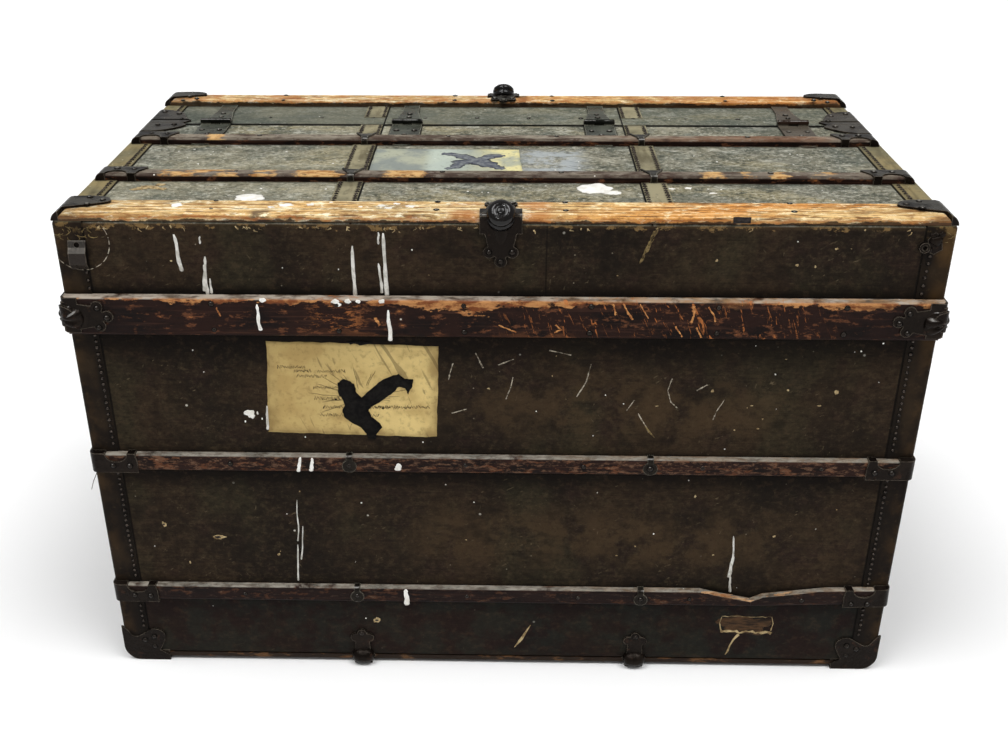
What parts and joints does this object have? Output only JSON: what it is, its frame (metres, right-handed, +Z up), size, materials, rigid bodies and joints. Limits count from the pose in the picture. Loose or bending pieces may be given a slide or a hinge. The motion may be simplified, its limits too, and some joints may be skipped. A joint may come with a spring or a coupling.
{
  "type": "travelling trunk",
  "caption": "Flat-topped wooden travelling trunk lying on its front, canvas covered, with wooden slats, iron corner caps, edge bumpers, hinged lid, hasp, side latches and strap handles.",
  "frame": {"origin": "on the floor under the middle of the trunk as it lies on its front", "axes": "+X along the trunk, +Y from its bottom to the top of its lid, +Z up, from its front (lock side, on the floor) to its back"},
  "size_m": [1.0746, 0.574, 0.6558],
  "materials": {
    "pine": "matte",
    "canvas": "worn oil paint",
    "paper": "matte",
    "fibre": "worn",
    "pale_slat_wood": "worn varnish",
    "slat_wood": "worn varnish",
    "black_iron": "worn black enamel",
    "hinge_iron": "worn paint",
    "steel": "tarnished",
    "lock_brass": "tarnished",
    "leather": "worn"
  },
  "bodies": {
    "body": {"body_bottom_board": "pine", "body_back_board": "pine", "body_front_board": "pine", "body_end_board_left": "pine", "body_end_board_right": "pine", "body_canvas": "canvas", "body_lining": "paper", "body_fibre_bindings": "fibre", "body_mouth_lip": "pine", "tray_cleats": "pine", "hinge_body_leaf_1": "hinge_iron", "hinge_body_leaf_2": "hinge_iron", "hinge_body_leaf_3": "hinge_iron", "hinge_body_leaf_4": "hinge_iron", "hinge_pins": "steel", "back_bottom_edge_slat": "pale_slat_wood", "back_slat_lower": "slat_wood", "back_slat_upper": "slat_wood", "front_bottom_edge_slat": "pale_slat_wood", "front_slats": "slat_wood", "bottom_slat_back": "slat_wood", "bottom_slat_middle": "slat_wood", "bottom_slat_front": "slat_wood", "body_slat_clamps": "black_iron", "body_band_clamps": "black_iron", "body_corner_caps": "black_iron", "body_seam_plates": "black_iron", "body_ball_bumpers": "black_iron", "caster_strap_left": "black_iron", "caster_stump_right": "black_iron", "lock_plate": "lock_brass", "latch_plates": "lock_brass", "handle_loops": "black_iron"},
    "lid": {"lid_top_board": "pine", "lid_back_board": "pine", "lid_front_board": "pine", "lid_end_board_left": "pine", "lid_end_board_right": "pine", "lid_canvas": "canvas", "lid_lining": "paper", "lid_fibre_bindings": "fibre", "lid_seam_band": "fibre", "hinge_lid_leaf_1": "hinge_iron", "hinge_lid_leaf_2": "hinge_iron", "hinge_lid_leaf_3": "hinge_iron", "hinge_lid_leaf_4": "hinge_iron", "back_lid_edge_slat": "pale_slat_wood", "front_lid_edge_slat": "pale_slat_wood", "lid_top_slats": "slat_wood", "lid_slat_clamps": "black_iron", "lid_corner_caps": "black_iron", "lid_seam_plates": "black_iron", "lid_ball_bumpers": "black_iron", "hasp_plate": "lock_brass", "latch_catches": "lock_brass"},
    "hasp": {"hasp": "lock_brass"},
    "latch_left": {"latch_lever_left": "lock_brass"},
    "latch_right": {"latch_lever_right": "lock_brass"},
    "handle_right": {"handle_right": "leather"},
    "handle_left": {"handle_left": "leather"}
  },
  "joints": [
    {"name": "lid_hinge", "type": "hinge", "parent": "body", "child": "lid", "pos_m": [0, 0.1335, 0.639], "axis": [1, 0, 0], "range_deg": [0, 100]},
    {"name": "hasp_hinge", "type": "hinge", "parent": "lid", "child": "hasp", "pos_m": [0, 0.148, 0.007], "axis": [1, 0, 0], "range_deg": [0, 165]},
    {"name": "latch_left_hinge", "type": "hinge", "parent": "body", "child": "latch_left", "pos_m": [-0.33, 0.108, 0.007], "axis": [1, 0, 0], "range_deg": [0, 170]},
    {"name": "latch_right_hinge", "type": "hinge", "parent": "body", "child": "latch_right", "pos_m": [0.33, 0.108, 0.007], "axis": [1, 0, 0], "range_deg": [0, 170]},
    {"name": "handle_right_slide", "type": "slide", "parent": "body", "child": "handle_right", "axis": [1, 0, 0], "range_m": [0, 0.006]},
    {"name": "handle_left_slide", "type": "slide", "parent": "body", "child": "handle_left", "axis": [-1, 0, 0], "range_m": [0, 0.006]}
  ]
}
